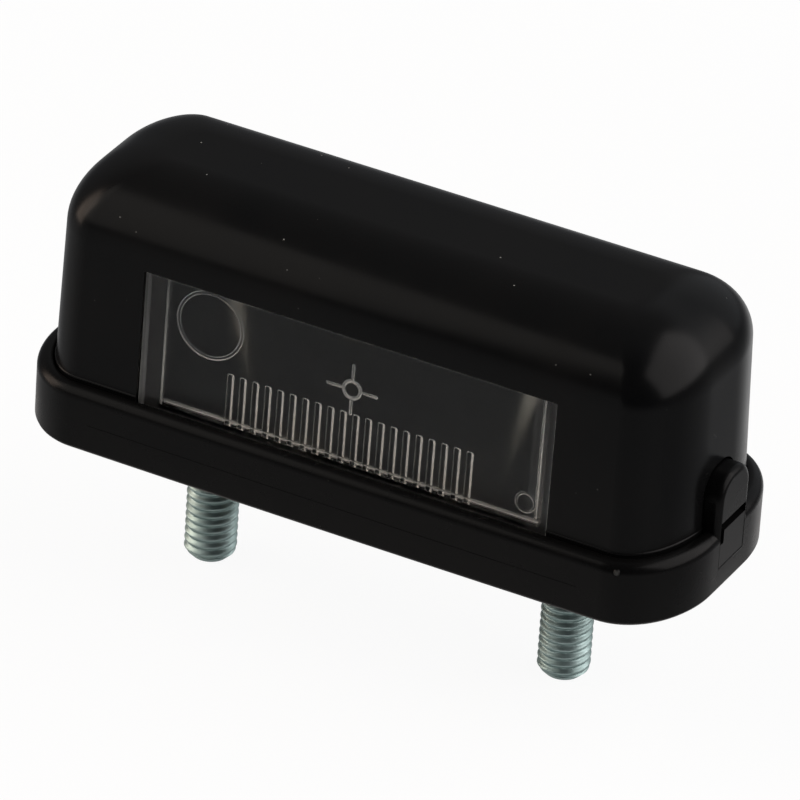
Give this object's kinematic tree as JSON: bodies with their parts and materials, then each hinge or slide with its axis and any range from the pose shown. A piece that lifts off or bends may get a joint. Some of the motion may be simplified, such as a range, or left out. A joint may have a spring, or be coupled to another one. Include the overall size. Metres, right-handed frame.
{
  "type": "number plate lamp",
  "caption": "Vehicle number plate lamp: black clip-on hood with a clear fluted front lens on a shallow tray with mounting studs",
  "frame": {"origin": "centre of the tray's flat underside, midway between the two studs", "axes": "+Z out of the mounting surface towards the top of the hood, X along the lamp's length, the lens faces -Y"},
  "size_m": [0.083, 0.0316, 0.0509],
  "materials": {
    "tray_plastic": "satin black moulding",
    "hood_plastic": "satin black moulding",
    "clear_plastic": "clear, polished",
    "seal_rubber": "matte",
    "zinc_steel": "bright zinc plate",
    "contact_brass": "rolled",
    "rivet_brass": "turned",
    "bulb_glass": "clear",
    "cap_metal": "nickel plate",
    "filament_wire": "drawn wire"
  },
  "bodies": {
    "root": {"base": "tray_plastic", "housing": "hood_plastic", "lens": "clear_plastic", "cover_seal": "seal_rubber", "left_stud": "zinc_steel", "right_stud": "zinc_steel", "left_contact": "contact_brass", "right_contact": "contact_brass", "left_terminal": "contact_brass", "right_terminal": "contact_brass", "left_rivet": "rivet_brass", "right_rivet": "rivet_brass", "bulb_glass": "bulb_glass", "left_bulb_cap": "cap_metal", "right_bulb_cap": "cap_metal", "bulb_filament": "filament_wire"}
  },
  "joints": []
}
